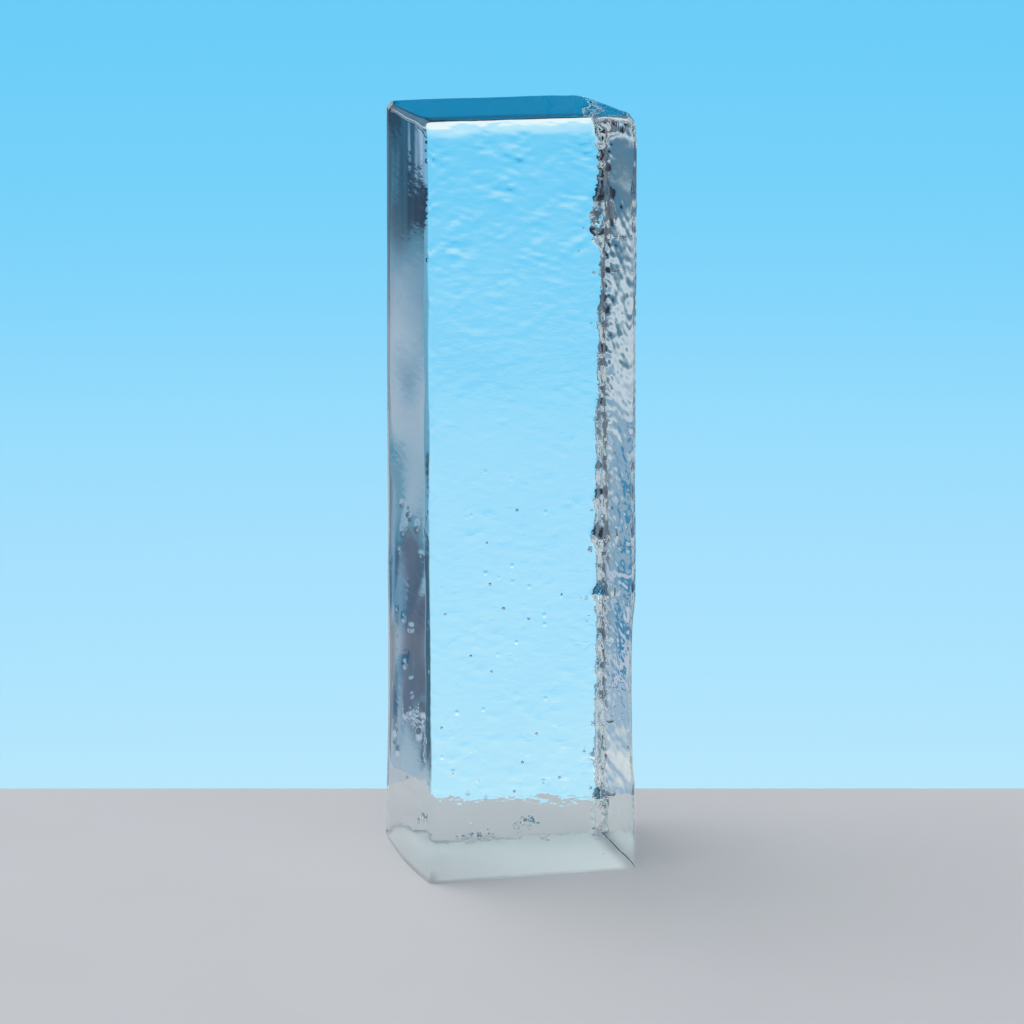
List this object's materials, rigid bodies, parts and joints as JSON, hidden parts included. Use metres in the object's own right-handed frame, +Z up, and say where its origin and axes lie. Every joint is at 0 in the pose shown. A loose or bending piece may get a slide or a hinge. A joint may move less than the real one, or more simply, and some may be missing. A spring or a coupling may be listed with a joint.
{
  "type": "ice stick",
  "caption": "Tall square-edged stick of clear ice for a drink, standing on its flat base, its edges and faces a little melted and pebbled.",
  "frame": {"origin": "middle of the flat base", "axes": "+Z up along the stick's length, -Y out of the front face, +X out of the pebbled right face"},
  "size_m": [0.0344, 0.0308, 0.1186],
  "materials": {
    "clear_ice": "clear ice, IOR 1.31, wet and glossy, faint blue cast, melted ripples, pebbles and small pits"
  },
  "bodies": {
    "root": {"ice_stick": "clear_ice"}
  },
  "joints": []
}
